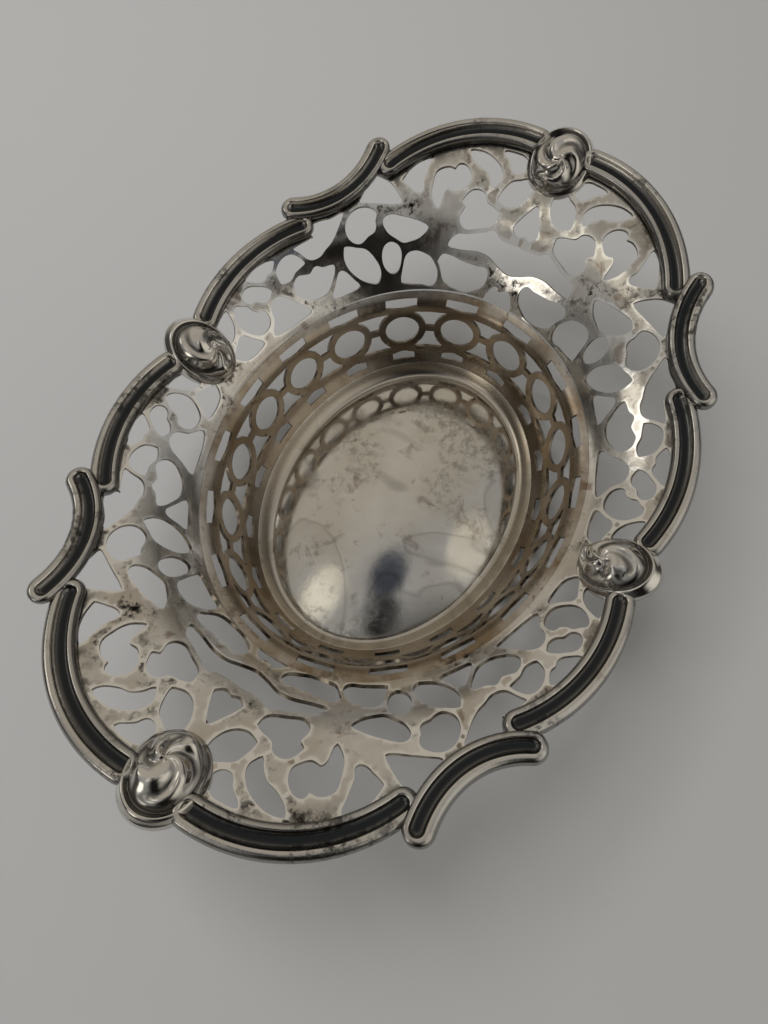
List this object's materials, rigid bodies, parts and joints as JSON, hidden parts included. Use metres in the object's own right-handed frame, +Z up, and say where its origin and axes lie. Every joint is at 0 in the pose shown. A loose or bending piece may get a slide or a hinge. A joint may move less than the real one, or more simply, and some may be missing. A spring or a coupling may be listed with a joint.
{
  "type": "pierced silver basket",
  "caption": "Oval pierced silver basket with a ring gallery, scroll-pierced flared flange and a channelled scroll border with domed bosses.",
  "frame": {"origin": "middle of the foot ring, on the surface that the basket stands on", "axes": "+X along the long axis, +Y along the short axis, +Z up out of the bowl"},
  "size_m": [0.175, 0.126, 0.052],
  "materials": {
    "bowl_silver": "polished antique silver, tarnished in the piercing",
    "border_silver": "polished antique silver, dark in the groove",
    "boss_silver": "bright polished antique silver"
  },
  "bodies": {
    "root": {"well": "bowl_silver", "pierced_gallery": "bowl_silver", "pierced_flange": "bowl_silver", "long_boss_1": "boss_silver", "long_boss_2": "boss_silver", "short_boss_1": "boss_silver", "short_boss_2": "boss_silver", "bracket_1": "border_silver", "bracket_2": "border_silver", "bracket_3": "border_silver", "bracket_4": "border_silver", "long_arc_1": "border_silver", "long_arc_2": "border_silver", "long_arc_3": "border_silver", "long_arc_4": "border_silver", "short_arc_1": "border_silver", "short_arc_2": "border_silver", "short_arc_3": "border_silver", "short_arc_4": "border_silver"}
  },
  "joints": []
}
